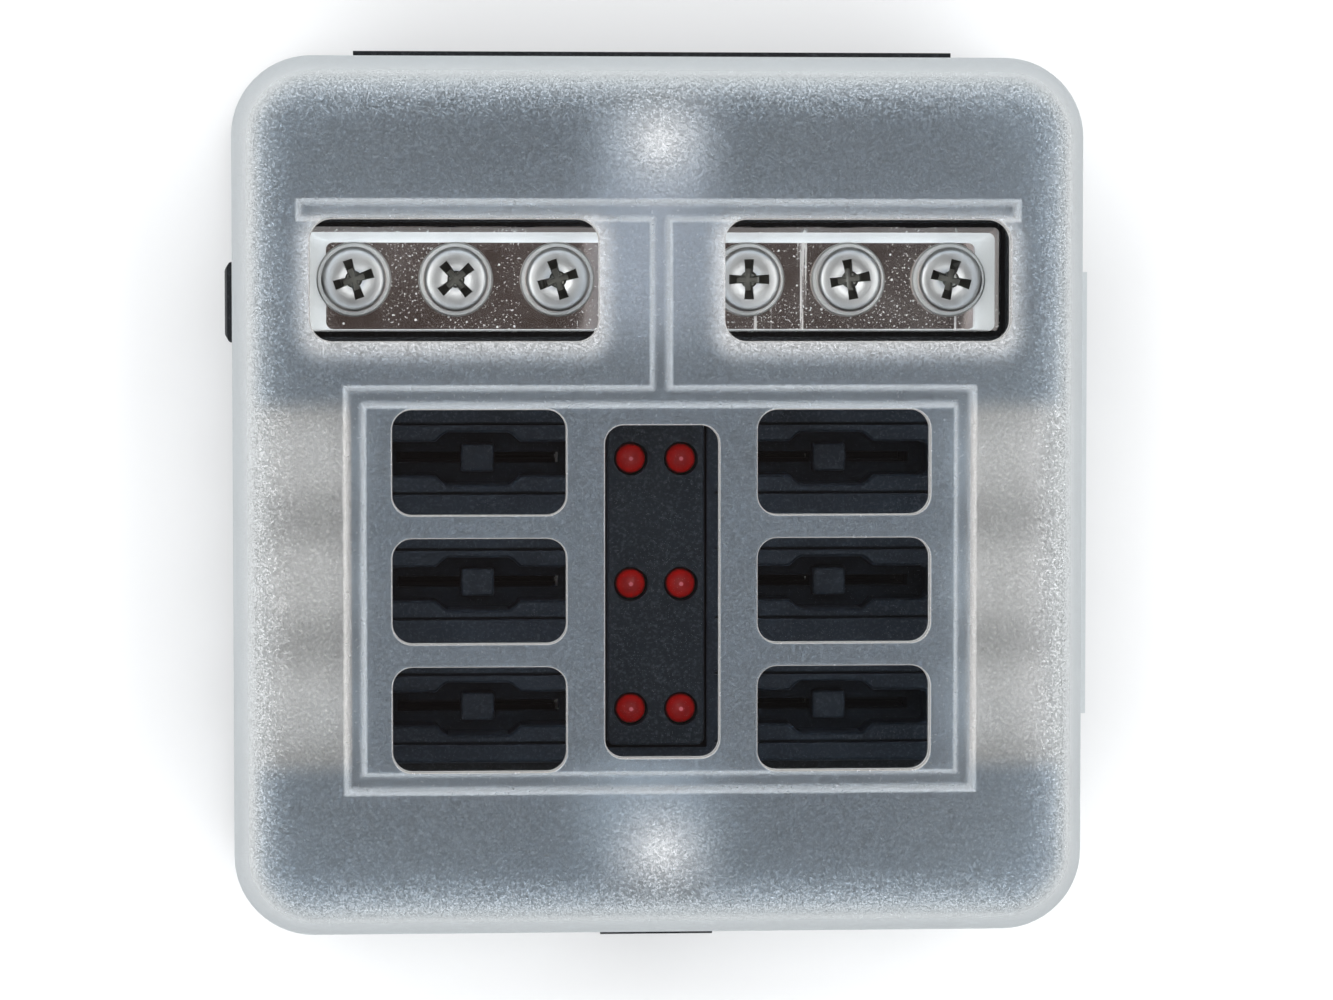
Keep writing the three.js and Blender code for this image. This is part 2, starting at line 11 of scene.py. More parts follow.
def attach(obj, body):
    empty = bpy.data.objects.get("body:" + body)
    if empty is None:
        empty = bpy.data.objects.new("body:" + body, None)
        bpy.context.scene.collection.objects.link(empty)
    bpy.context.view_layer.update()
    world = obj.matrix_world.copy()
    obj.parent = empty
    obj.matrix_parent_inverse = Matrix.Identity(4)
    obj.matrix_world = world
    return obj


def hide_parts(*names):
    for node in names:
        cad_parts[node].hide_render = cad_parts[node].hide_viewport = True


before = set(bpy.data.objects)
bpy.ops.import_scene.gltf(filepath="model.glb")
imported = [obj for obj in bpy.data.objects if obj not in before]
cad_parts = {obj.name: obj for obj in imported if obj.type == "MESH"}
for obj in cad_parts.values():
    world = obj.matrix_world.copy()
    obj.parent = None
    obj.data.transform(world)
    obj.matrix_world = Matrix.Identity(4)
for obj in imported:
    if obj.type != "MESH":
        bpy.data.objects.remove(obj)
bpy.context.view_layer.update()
MM = 0.001
WELD, FLAT = 0.0005, math.radians(0.6)
ROUND = 48  # points round a screw, a nut or a hole

# ------------------------------------------------------------------ dimensions, millimetres

SIDES = (-1, 1)
SIDE_NAMES = {-1: "left", 1: "right"}
ROWS = (3.45, -9.05, -21.55)
SOCKET_X, BLADE_X = 17.7, 4.83
BUS_Y, STUD_Y = 21.3, 34.8
BUS_SCREW_X = (-30, -19.8, -9.6, 9.6, 19.8, 30)
BUS_SCREW_TURNS = (18, 40, 18, 0, 10, -15)
BAR_TOP, PLATE_TOP, FEED_TOP = 20.7, 18.7, 14.8
BAR_LENGTH, BAR_WIDTH = 70.8, 10.6
PLATE_X = 36
LED_X, LED_RADIUS, LED_DOME = 2.5, 1.5, 25.8
BLOCK_FOOT, BLOCK_TOP, LINK_ROOM_TOP = 13.3, 26, 15.1
COVER_FOOT, SHOULDER, LID_UNDER, LID_TOP = 3.3, 33.7, 36, 38
FOOT_SIZE, LID_SIZE = (84.5, 86.8), (83.4, 85.9)
COVER_WALL, COVER_FILLET, COVER_CORNER = 1.8, 4.3, 7.8
M4_RADIUS, M4_PITCH = 1.95, 0.7
M5_RADIUS, M5_PITCH = 2.45, 0.8
NUT_RADIUS, NUT_HEIGHT = 4.6, 4
# areas of the lid that bound the light painted into its material, mirrored left to right:
# middle x, y, half length, half width
FLAT_LID = (0, 0, 34.4, 34.9)
OVER_BAR = (20.1, 20.5, 12.5, 4.4)
OVER_LINKS = (36.2, -8.6, 4.6, 15.5)
# rolled edge of the negative bar: height, and how far in from its ends, back and front
BAR_ROLL = (
    (17.7, 0.15, 0.1, 0.1), (17.85, 0, 0, 0), (20.05, 0, 0, 0), (20.2, 0.1, 0.14, 0.03),
    (20.34, 0.55, 0.55, 0.08), (20.5, 1.2, 0.95, 0.14), (20.64, 2.0, 1.35, 0.2),
    (20.7, 2.6, 1.6, 0.3),
)
# the six fuse ways: name, side, y
WAYS = [(f"{SIDE_NAMES[s]}_{i + 1}", s, y) for s in SIDES for i, y in enumerate(ROWS)]
# clear windows in the lid: x, y, length, width, corner radius
WINDOWS = (
    [(0, -9.15, 11.1, 32.4, 1.8)]
    + [(s * 20.1, 21.1, 27.9, 11.8, 2.1) for s in SIDES]
    + [(s * 17.75, y, 16.85, 10.2, 1.9) for _, s, y in WAYS]
)

# ------------------------------------------------------------------ mesh tools, millimetres


def arc_points(cx, cy, r, a0, a1, n):
    step = (a1 - a0) / n
    return [
        (cx + r * math.cos(a0 + i * step), cy + r * math.sin(a0 + i * step))
        for i in range(n + 1)
    ]


def rounded(x, y, length, width, r, n=10):
    """Counter-clockwise outline of a rectangle with rounded corners."""
    a, b, quarter = length / 2 - r, width / 2 - r, math.pi / 2
    corners = ((x + a, y + b), (x - a, y + b), (x - a, y - b), (x + a, y - b))
    out = []
    for i, (cx, cy) in enumerate(corners):
        out += arc_points(cx, cy, r, i * quarter, (i + 1) * quarter, n)
    return out


def skin(rings):
    """Closed mesh over rings of equal length, low to high, each a list of (x, y, z)."""
    n = len(rings[0])
    verts = [p for ring in rings for p in ring]
    faces = [tuple(reversed(range(n)))]
    for s in range(len(rings) - 1):
        for i in range(n):
            j = (i + 1) % n
            faces.append((s * n + i, s * n + j, (s + 1) * n + j, (s + 1) * n + i))
    last = (len(rings) - 1) * n
    faces.append(tuple(range(last, last + n)))
    return verts, faces


def prism(outline, z0, z1):
    return skin([[(x, y, z) for x, y in outline] for z in (z0, z1)])


def lofted(outline, levels):
    """Closed mesh through outline(*step) at each height, levels being (z, *step)."""
    return skin([[(x, y, z) for x, y in outline(*step)] for z, *step in levels])


def box(x0, y0, z0, x1, y1, z1):
    x0, x1 = sorted((x0, x1))
    y0, y1 = sorted((y0, y1))
    return prism([(x0, y0), (x1, y0), (x1, y1), (x0, y1)], z0, z1)


def turned(profile, n=ROUND):
    """Turned solid from (radius, z) points, low to high; ends may sit on the axis."""
    verts, faces, rows = [], [], []
    for r, z in profile:
        if r < 1e-6:
            rows.append([len(verts)])
            verts.append((0, 0, z))
            continue
        rows.append(list(range(len(verts), len(verts) + n)))
        for i in range(n):
            a = 2 * math.pi * i / n
            verts.append((r * math.cos(a), r * math.sin(a), z))
    for low, high in zip(rows, rows[1:]):
        for i in range(n):
            j = (i + 1) % n
            if len(low) == 1:
                faces.append((low[0], high[j], high[i]))
            elif len(high) == 1:
                faces.append((low[i], low[j], high[0]))
            else:
                faces.append((low[i], low[j], high[j], high[i]))
    return verts, faces


def post(x, y, r, z0, z1):
    return prism(arc_points(x, y, r, 0, 2 * math.pi, ROUND)[:-1], z0, z1)


def draft(name, shape):
    """Object in millimetres for the shape (verts, faces)."""
    mesh = bpy.data.meshes.new(name)
    mesh.from_pydata(shape[0], [], shape[1])
    ob = bpy.data.objects.new(name, mesh)
    bpy.context.scene.collection.objects.link(ob)
    return ob


def settle(ob):
    """Puts the result of the object's modifiers into its mesh."""
    bpy.context.view_layer.update()
    made = ob.evaluated_get(bpy.context.evaluated_depsgraph_get())
    mesh = bpy.data.meshes.new_from_object(made)
    ob.modifiers.clear()
    ob.data = mesh
    return ob


def boolean(ob, shapes, operation="DIFFERENCE"):
    """Cuts, joins or intersects the object with shapes, which are used up."""
    tools = []
    for shape in shapes:
        tool = shape if hasattr(shape, "data") else draft("tool", shape)
        tools.append(tool)
        mod = ob.modifiers.new("cut", "BOOLEAN")
        mod.operation, mod.solver, mod.object = operation, "MANIFOLD", tool
    settle(ob)
    for tool in tools:
        bpy.data.objects.remove(tool)
    return ob


def round_edges(ob, width, segments=2, angle=35):
    mod = ob.modifiers.new("bevel", "BEVEL")
    mod.width, mod.segments, mod.limit_method = width, segments, "ANGLE"
    mod.angle_limit = math.radians(angle)
    mod.use_clamp_overlap = True
    return settle(ob)


def clean(ob):
    """Welds doubles and dissolves edges inside flat faces."""
    bm = bmesh.new()
    bm.from_mesh(ob.data)
    bmesh.ops.remove_doubles(bm, verts=bm.verts, dist=WELD)
    bmesh.ops.dissolve_limit(bm, angle_limit=FLAT, verts=bm.verts, edges=bm.edges)
    bm.to_mesh(ob.data)
    bm.free()
    return ob


def from_cad(node, name):
    """Copy of a CAD node's mesh in millimetres, welded."""
    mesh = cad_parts[node].data.copy()
    mesh.materials.clear()
    mesh.transform(Matrix.Scale(1 / MM, 4))
    ob = bpy.data.objects.new(name, mesh)
    bpy.context.scene.collection.objects.link(ob)
    return clean(ob)


def place(ob, x, y, turn=0):
    ob.data.transform(Matrix.Translation((x, y, 0)) @ Matrix.Rotation(turn, 4, "Z"))
    return ob


def copy_of(ob, name):
    twin = bpy.data.objects.new(name, ob.data.copy())
    bpy.context.scene.collection.objects.link(twin)
    return twin


def paint_shade_or_highlight(ob, material, painted_material, painted_here):
    """Two materials: the second one, which paints shade on some pieces and a highlight on
    others, goes on the faces picked by the test of their centre and normal.
    """
    ob.data.materials.clear()
    for look in (material, painted_material):
        ob.data.materials.append(look)
    for face in ob.data.polygons:
        face.material_index = int(painted_here(face.center, face.normal))
    return ob


def piece(ob, name, body, material, nodes, angle=32):
    """Finished piece in metres, riding on a body and standing for CAD nodes."""
    ob.name = name
    mesh = ob.data
    mesh.name = name
    mesh.transform(Matrix.Scale(MM, 4))
    if not any(mesh.materials):
        mesh.materials.clear()
        mesh.materials.append(material)
    mesh.polygons.foreach_set("use_smooth", [True] * len(mesh.polygons))
    mesh.set_sharp_from_angle(angle=math.radians(angle))
    mod = ob.modifiers.new("normals", "WEIGHTED_NORMAL")
    mod.keep_sharp = True
    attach(ob, body)
    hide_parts(*nodes)
    return ob


# ------------------------------------------------------------------ material tools


class Look:
    """A node material with a Principled shader and a few short ways to wire it."""

    def __init__(self, name, **values):
        self.material = bpy.data.materials.new(name)
        self.material.use_nodes = True
        self.tree = self.material.node_tree
        self.shader = self.tree.nodes["Principled BSDF"]
        self.out = self.tree.nodes["Material Output"]
        for key, value in values.items():
            self.shader.inputs[key.replace("_", " ")].default_value = value
        self.coord = self.tree.nodes.new("ShaderNodeTexCoord").outputs["Object"]

    def node(self, kind, inputs=(), **settings):
        """New shader node, its inputs linked to sockets or set to values."""
        n = self.tree.nodes.new("ShaderNode" + kind)
        for key, value in settings.items():
            setattr(n, key, value)
        for key, value in dict(inputs).items():
            if isinstance(value, bpy.types.NodeSocket):
                self.tree.links.new(value, n.inputs[key])
            else:
                n.inputs[key].default_value = value
        return n

    def link(self, output, key):
        self.tree.links.new(output, self.shader.inputs[key])

    def axis(self, index):
        return self.node("SeparateXYZ", {0: self.coord}).outputs[index]

    def noise(self, scale, detail=3, rough=0.5, stretch=None, turn=0):
        """Noise with its scale per metre, stretched by a vector and turned about Z."""
        at = self.coord
        if stretch or turn:
            at = self.node(
                "Mapping",
                {"Vector": at, "Rotation": (0, 0, turn), "Scale": stretch or (1, 1, 1)},
            ).outputs[0]
        inputs = {"Vector": at, "Scale": scale, "Detail": detail, "Roughness": rough}
        return self.node("TexNoise", inputs).outputs["Fac"]

    def spots(self, scale, size):
        """1 inside small round spots, 0 outside."""
        cells = self.node("TexVoronoi", {"Vector": self.coord, "Scale": scale})
        return self.span(cells.outputs["Distance"], size * 0.6, size, 1, 0)

    def span(self, value, a, b, c, d, **settings):
        """Value carried from the range a to b over to the range c to d, and held there."""
        ends = {"Value": value, "From Min": a, "From Max": b, "To Min": c, "To Max": d}
        return self.node("MapRange", ends, **settings).outputs[0]

    def ease(self, value, a, b, c, d):
        """As span, with a soft start and end."""
        return self.span(value, a, b, c, d, interpolation_type="SMOOTHSTEP")

    def maths(self, operation, a, b):
        return self.node("Math", {0: a, 1: b}, operation=operation).outputs[0]

    def size(self, value):
        """Value without its sign."""
        return self.maths("ABSOLUTE", value, 0)

    def reach(self, x, y):
        """Length of the flat vector (x, y)."""
        squares = self.maths("MULTIPLY", x, x), self.maths("MULTIPLY", y, y)
        return self.maths("SQRT", self.maths("ADD", *squares), 0)

    def up(self):
        """1 where the surface faces up, 0 where it is upright."""
        normal = self.tree.nodes["Texture Coordinate"].outputs["Normal"]
        return self.node("SeparateXYZ", {0: normal}).outputs[2]

    def mix(self, share, a, b):
        """Colour a with a share of colour b."""
        return self.node("Mix", {0: share, 6: a, 7: b}, data_type="RGBA").outputs[2]

    def bump(self, height, strength, distance, under=None):
        inputs = {"Height": height, "Strength": strength, "Distance": distance}
        if under is not None:
            inputs["Normal"] = under
        return self.node("Bump", inputs).outputs[0]

    def let_lamps_in(self, colour):
        """Shadow rays pass, tinted, so that lamps light what the clear shell covers."""
        tree = self.tree
        ray = tree.nodes.new("ShaderNodeLightPath").outputs["Is Shadow Ray"]
        open_ = self.node("BsdfTransparent", {"Color": colour}).outputs[0]
        mixed = self.node(
            "MixShader", {0: ray, 1: self.shader.outputs[0], 2: open_}
        ).outputs[0]
        tree.links.new(mixed, self.out.inputs[0])


def rgb(r, g, b):
    return (r, g, b, 1)


def black_plastic(name, low, high, rough, grain, dust, shine=0.09):
    look = Look(name, Specular_IOR_Level=shine)
    wide = look.noise(90, 4, 0.6)
    colour = look.mix(look.span(wide, 0.35, 0.7, 0, 1), low, high)
    fine = look.noise(3200, 2, 0.6)
    colour = look.mix(look.span(fine, 0.5, 0.75, 0, dust), colour, rgb(0.1, 0.11, 0.125))
    motes = look.spots(1500, 0.07)
    colour = look.mix(look.maths("MULTIPLY", motes, dust), colour, rgb(0.3, 0.32, 0.35))
    look.link(colour, "Base Color")
    look.link(look.span(look.noise(500, 3), 0.3, 0.7, rough - 0.04, rough + 0.06), "Roughness")
    normal = look.bump(fine, grain, 0.00004)
    look.link(look.bump(look.noise(260, 2), 0.05, 0.0001, normal), "Normal")
    return look.material


def plated(name, low, high, smooth, dull, scratches=0, dust_above=None, metallic=1):
    """Plated metal with polish that varies, fine scratches, and dust on high noise."""
    look = Look(name, Metallic=metallic)
    cloud = look.noise(140, 5, 0.65)
    colour = look.mix(look.span(cloud, 0.35, 0.68, 0, 1), low, high)
    polish = look.span(cloud, 0.3, 0.7, smooth, dull)
    if scratches:
        lines = None
        for turn, scale in ((0.35, 420), (-0.7, 380), (1.25, 520)):
            streak = look.noise(scale, 3, 0.55, (1, 0.03, 1), turn)
            line = look.span(streak, 0.655, 0.69, 0, 1)
            lines = line if lines is None else look.maths("MAXIMUM", lines, line)
        lines = look.maths("MULTIPLY", lines, scratches)
        colour = look.mix(lines, colour, rgb(0.9, 0.9, 0.88))
        polish = look.maths("ADD", polish, look.maths("MULTIPLY", lines, 0.35))
    if dust_above:
        motes = look.span(look.noise(4200, 3, 0.6), dust_above, dust_above + 0.04, 0, 1)
        motes = look.maths("MULTIPLY", motes, look.span(cloud, 0.4, 0.56, 0, 1))
        motes = look.maths("MAXIMUM", motes, look.spots(700, 0.1))
        colour = look.mix(motes, colour, rgb(0.75, 0.75, 0.73))
        look.link(look.span(motes, 0, 1, 1, 0), "Metallic")
        polish = look.maths("ADD", polish, look.maths("MULTIPLY", motes, 0.4))
    look.link(colour, "Base Color")
    look.link(polish, "Roughness")
    look.link(look.bump(look.noise(900, 4, 0.6), 0.1, 0.00002), "Normal")
    return look.material


def frosted():
    """Spark-textured polycarbonate, with painted light: hazier and paler at its walls and
    upright faces, and over the bright metal.

    Distances are in metres, as the mesh coordinates are.
    """
    look = Look("frosted_polycarbonate", IOR=1.45, Specular_IOR_Level=0.36)
    x, y = look.size(look.axis(0)), look.axis(1)
    # sharp-edged specks, about -1 to 1, coarse and fine
    coarse = look.span(look.noise(4300, 2, 0.6), 0.4, 0.6, -0.45, 0.45)
    fine = look.span(look.noise(7400, 2, 0.7), 0.4, 0.6, -0.55, 0.55)
    speck = look.maths("ADD", coarse, fine)

    def outside(area, ragged=0):
        """Distance outside a rectangle, its edge made ragged by the grain."""
        cx, cy, half_x, half_y = (v * MM for v in area)
        dx = look.size(look.maths("SUBTRACT", x, cx))
        dy = look.size(look.maths("SUBTRACT", y, cy))
        dx = look.maths("MAXIMUM", look.maths("SUBTRACT", dx, half_x), 0)
        dy = look.maths("MAXIMUM", look.maths("SUBTRACT", dy, half_y), 0)
        far = look.reach(dx, dy)
        if not ragged:
            return far
        return look.maths("ADD", far, look.maths("MULTIPLY", speck, ragged))

    # painted light: a hazier, paler band along the walls, standing for light that comes in
    # through them
    fade = look.ease(outside(FLAT_LID, 0.0003), 0.0011, 0.0078, 0, 1)
    rim = look.maths("POWER", fade, 2)
    # painted light: upright faces are hazier and paler
    side = look.ease(look.size(look.up()), 0.8, 0.98, 1, 0)
    # painted glow over the bus bar and the studs, standing for light the metal throws back up
    over_bar = look.ease(outside(OVER_BAR, 0.0005), 0.0012, 0.004, 0.36, 0)
    # painted light: the pale haze over the output plates stops at the long ribs
    over_links = look.ease(outside(OVER_LINKS), 0.0008, 0.0036, 1, 0)
    over_links = look.maths("MULTIPLY", over_links, look.maths("GREATER_THAN", x, 0.0301))
    far = look.reach(x, look.maths("SUBTRACT", look.size(y), STUD_Y * MM))
    over_studs = look.maths("POWER", look.ease(far, 0.0, 0.0085, 1, 0), 1.3)
    over_studs = look.maths("MULTIPLY", over_studs, 0.34)
    painted_glow = look.maths("MAXIMUM", over_bar, over_studs)
    painted_haze = look.maths("MAXIMUM", look.maths("MAXIMUM", rim, side), painted_glow)
    # the specks are strongest where the haze is thin, and drown where it is thick
    clear = look.maths("SUBTRACT", 1, fade)
    thin = look.maths("MULTIPLY", fade, look.maths("MULTIPLY", clear, clear))
    thin = look.maths("MULTIPLY", thin, 1.7)
    thin = look.maths("MAXIMUM", thin, look.maths("MULTIPLY", painted_glow, 0.4))
    depth = look.maths("ADD", thin, look.span(side, 0, 1, 0.22, 0.08))
    depth = look.maths("MULTIPLY", depth, look.ease(fade, 0.6, 1, 1, 0.15))
    specked_painted_haze = look.maths("ADD", painted_haze, look.maths("MULTIPLY", speck, depth))
    look.link(look.span(specked_painted_haze, 0, 1, 0.975, 0.36), "Transmission Weight")
    cloud = look.span(look.noise(55, 3), 0.35, 0.65, 0, 1)
    tint = look.mix(cloud, rgb(0.49, 0.585, 0.69), rgb(0.525, 0.62, 0.72))
    # painted reflection and light: the tint goes whiter over the bright metal, and paler on
    # upright faces and along the walls
    painted_metal_glow = look.maths("MAXIMUM", over_links, look.maths("MULTIPLY", painted_glow, 2.4))
    tint = look.mix(painted_metal_glow, tint, rgb(0.875, 0.877, 0.88))
    tint = look.mix(side, tint, rgb(0.87, 0.845, 0.82))
    tint = look.mix(fade, tint, rgb(0.625, 0.662, 0.68))
    darker = look.maths("SUBTRACT", 1, look.maths("MULTIPLY", speck, depth))
    shade = look.span(darker, 0.7, 1.3, 1.3, 0.7)
    tint = look.node("VectorMath", {0: tint, "Scale": shade}, operation="SCALE").outputs[0]
    look.link(tint, "Base Color")
    # the outside is finer than the inside
    inside = look.maths("LESS_THAN", look.axis(2), 0.037)
    polish = look.span(look.noise(2600, 2), 0.3, 0.7, 0.2, 0.28)
    look.link(look.maths("ADD", polish, look.maths("MULTIPLY", inside, 0.32)), "Roughness")
    normal = look.bump(speck, 0.25, 0.00003)
    look.link(look.bump(look.noise(1700, 3, 0.6), 0.12, 0.00008, normal), "Normal")
    look.let_lamps_in(rgb(0.74, 0.735, 0.725))
    return look.material


def clear_pane():
    look = Look("clear_polycarbonate", IOR=1.45, Specular_IOR_Level=0.12, Transmission_Weight=1)
    look.shader.inputs["Base Color"].default_value = rgb(0.93, 0.95, 0.96)
    look.link(look.span(look.noise(400, 2), 0.3, 0.7, 0.0, 0.035), "Roughness")
    look.link(look.bump(look.noise(60, 2), 0.05, 0.0002), "Normal")
    look.let_lamps_in(rgb(0.9, 0.92, 0.93))
    return look.material


def red_lens():
    look = Look("red_lens", IOR=1.45, Specular_IOR_Level=0.12)
    tint = look.span(look.noise(900, 3), 0.3, 0.7, 0, 1)
    colour = look.mix(tint, rgb(0.135, 0.0035, 0.0035), rgb(0.185, 0.007, 0.006))
    # painted light: the red is lighter and clearer towards the edge of the dome, and a painted
    # glint, pale pink, sits at its top
    up = look.up()
    colour = look.mix(look.ease(up, 0.5, 0.95, 0.85, 0), colour, rgb(0.28, 0.002, 0.001))
    colour = look.mix(look.ease(up, 0.986, 0.995, 0, 1), colour, rgb(0.34, 0.075, 0.09))
    look.link(colour, "Base Color")
    look.link(look.span(look.noise(900, 2), 0.3, 0.7, 0.28, 0.4), "Roughness")
    look.link(look.bump(look.noise(800, 2), 0.05, 0.00005), "Normal")
    return look.material


def circuit_board():
    look = Look("solder_mask", Roughness=0.4, Coat_Weight=0.3)
    weave = look.node(
        "TexWave", {"Vector": look.coord, "Scale": 900, "Distortion": 1.5}
    ).outputs["Fac"]
    look.link(look.mix(weave, rgb(0.01, 0.07, 0.025), rgb(0.016, 0.1, 0.035)), "Base Color")
    look.link(look.bump(weave, 0.1, 0.00003), "Normal")
    return look.material


def pale_floor():
    look = Look("pale_floor", Specular_IOR_Level=0.2)
    tint = look.span(look.noise(6, 3), 0.3, 0.7, 0, 1)
    look.link(look.mix(tint, rgb(0.91, 0.915, 0.92), rgb(0.93, 0.935, 0.94)), "Base Color")
    look.link(look.span(look.noise(40, 2), 0.3, 0.7, 0.6, 0.7), "Roughness")
    return look.material


HOUSING = black_plastic(
    "housing_black", rgb(0.008, 0.009, 0.0105), rgb(0.013, 0.0145, 0.017),
    rough=0.42, grain=0.35, dust=0.25,
)
BLOCK = black_plastic(
    "block_black", rgb(0.004, 0.0065, 0.0105), rgb(0.008, 0.012, 0.018),
    rough=0.42, grain=0.4, dust=0.22,
)
# painted shade: a darker, duller black for the faces down in the sockets
BLOCK_PAINTED_SHADE = black_plastic(
    "block_painted_shade", rgb(0.0016, 0.003, 0.0052), rgb(0.003, 0.0052, 0.0088),
    rough=0.5, grain=0.4, dust=0.08, shine=0.03,
)
BEZEL = black_plastic(
    "bezel_black", rgb(0.0055, 0.0075, 0.0105), rgb(0.009, 0.012, 0.016),
    rough=0.36, grain=0.3, dust=0.24,
)
NICKEL = plated(
    "nickel_plate", rgb(0.62, 0.52, 0.48), rgb(0.7, 0.61, 0.575),
    smooth=0.06, dull=0.14, scratches=0.65, dust_above=0.61,
)
# painted highlight: a paler, half-metallic nickel for the bar's rolled edge
NICKEL_PAINTED_HIGHLIGHT = plated(
    "nickel_painted_highlight", rgb(0.84, 0.83, 0.81), rgb(0.93, 0.92, 0.9),
    smooth=0.3, dull=0.4, scratches=0.2, metallic=0.35,
)
TIN = plated(
    "tin_plate", rgb(0.84, 0.83, 0.8), rgb(0.92, 0.91, 0.88),
    smooth=0.42, dull=0.58, scratches=0.2,
)
ZINC = plated(
    "zinc_plate", rgb(0.46, 0.45, 0.44), rgb(0.56, 0.55, 0.54),
    smooth=0.28, dull=0.38, scratches=0.1,
)
WASHER_ZINC = plated(
    "washer_zinc", rgb(0.6, 0.59, 0.57), rgb(0.68, 0.67, 0.65), smooth=0.42, dull=0.54
)
# painted shade: dark zinc for the faces down in the screw recesses
RECESS_PAINTED_SHADE = plated(
    "zinc_painted_shade", rgb(0.12, 0.115, 0.1), rgb(0.19, 0.185, 0.165),
    smooth=0.35, dull=0.5, scratches=0.2,
)
# painted shade: near-black tin for the parts of the links inside the block
TIN_PAINTED_SHADE = plated(
    "tin_painted_shade", rgb(0.006, 0.006, 0.007), rgb(0.013, 0.013, 0.013), smooth=0.45, dull=0.6
)
# painted shade: the feed clips, deep in the slots, are near-black rather than brass coloured
BRASS_PAINTED_SHADE = plated(
    "brass_painted_shade", rgb(0.005, 0.0047, 0.004), rgb(0.011, 0.01, 0.008), smooth=0.4, dull=0.55
)
FROST = frosted()
CLEAR = clear_pane()
RED = red_lens()
BOARD = circuit_board()

# ------------------------------------------------------------------ cover


def cover_skin(inset, bottom, top, arc=10):
    """Outer or inner skin of the cover as a closed solid."""
    bend = COVER_FILLET - inset

    def outline(share, shrink):
        length, width = (
            foot + (lid - foot) * share - 2 * (inset + shrink)
            for foot, lid in zip(FOOT_SIZE, LID_SIZE)
        )
        return rounded(0, 0, length, width, COVER_CORNER - inset - 0.75 * shrink, 14)

    levels = [(bottom, (bottom - COVER_FOOT) / (SHOULDER - COVER_FOOT), 0)]
    fillet = arc_points(0, top - bend, bend, 0, math.pi / 2, arc)
    levels += [(z, 1, bend - across) for across, z in fillet]
    return lofted(outline, levels)


def rib(x0, y0, x1, y1):
    """Rib under the lid with a softly rounded free edge and a fillet at its root."""
    bottom, r = 33.4, 0.3

    def outline(g):
        return [(x0 - g, y0 - g), (x1 + g, y0 - g), (x1 + g, y1 + g), (x0 - g, y1 + g)]

    return lofted(outline, (
        (bottom, -r), (bottom + 0.1, -r * 0.42), (bottom + r, -0.02), (35.4, 0.0),
        (35.65, 0.07), (35.85, 0.2), (36.0, 0.42), (36.4, 0.45),
    ))


def pane_hole(x, y, length, width, r):
    def outline(g):
        return rounded(x, y, length + 2 * g, width + 2 * g, r + g, 8)

    levels = ((35, 0), (37.5, 0), (37.8, 0.03), (37.94, 0.1), (38.0, 0.2), (38.3, 0.5))
    return lofted(outline, levels)


def build_cover():
    wall = 1.4
    pry_ledge = box(40.7, -22, 27, 42.8, 22, 30)
    shell = draft("cover_shell", cover_skin(0, COVER_FOOT, LID_TOP, 14))
    boolean(shell, [pry_ledge], "UNION")
    boolean(shell, [cover_skin(COVER_WALL, COVER_FOOT - 1, LID_UNDER)])
    ribs = [
        rib(-35, 27.2, 34.8, 27.2 + wall),
        rib(-wall / 2, 9.8, wall / 2, 27.8),
        rib(-30.5, 10.5 - wall, 30.5, 10.5),
        rib(-30.5, -28.6, 30.5, -28.6 + wall),
        rib(-30.5, -28.0, -30.5 + wall, 10.0),
        rib(30.5 - wall, -28.0, 30.5, 10.0),
    ]
    boolean(shell, ribs, "UNION")
    notches = [box(s * 38, 14.4, 0, s * 50, 23.6, 25.6) for s in SIDES]
    notches += [box(s * 38, y - 4, 0, s * 50, y + 4, 24) for _, s, y in WAYS]
    notches += [box(-30.5, 39, 0, 30.5, 50, 23.4), box(-6.1, -50, 0, 6.1, -39, 28.4)]
    boolean(shell, notches)
    boolean(shell, [pane_hole(*w) for w in WINDOWS])
    piece(shell, "cover_shell", "cover", FROST, ["cover"])
    verts, faces = [], []
    for x, y, length, width, r in WINDOWS:
        v, f = prism(rounded(x, y, length + 0.2, width + 0.2, r + 0.1, 8), 36.05, 37.6)
        faces += [tuple(i + len(verts) for i in face) for face in f]
        verts += v
    panes = draft("cover_windows", (verts, faces))
    piece(panes, "cover_windows", "cover", CLEAR, ["cover"])


# ------------------------------------------------------------------ base, block and strip


def build_base():
    base = from_cad("base_housing", "housing_shell")
    round_edges(base, 0.22, 2, 50)
    piece(base, "housing_shell", "base", HOUSING, ["base_housing"], 40)
    for side in SIDES:
        name = SIDE_NAMES[side]
        finger = from_cad(f"latch_{name}", "finger")
        round_edges(finger, 0.18, 2, 30)
        piece(
            finger, f"latch_finger_{name}", f"latch_{name}", HOUSING,
            [f"latch_{name}"],
        )


def socket_outline(x, y, grow):
    half, thin, wide = 9.65 + grow, 1.635 + grow, 2.575 + grow
    bulge, corner, flare = 3.2 + grow * 0.4, 0.7, 1.0
    quarter = [(half, 0), (half, thin - corner), (half - corner * 0.3, thin - corner * 0.3),
               (half - corner, thin), (bulge + flare, thin), (bulge + 0.25, wide - 0.25),
               (bulge - 0.2, wide), (0, wide)]
    full = quarter + [(-a, b) for a, b in reversed(quarter[:-1])]
    full += [(-a, -b) for a, b in quarter[1:]] + [(a, -b) for a, b in reversed(quarter[1:-1])]
    return [(x + a, y + b) for a, b in full]


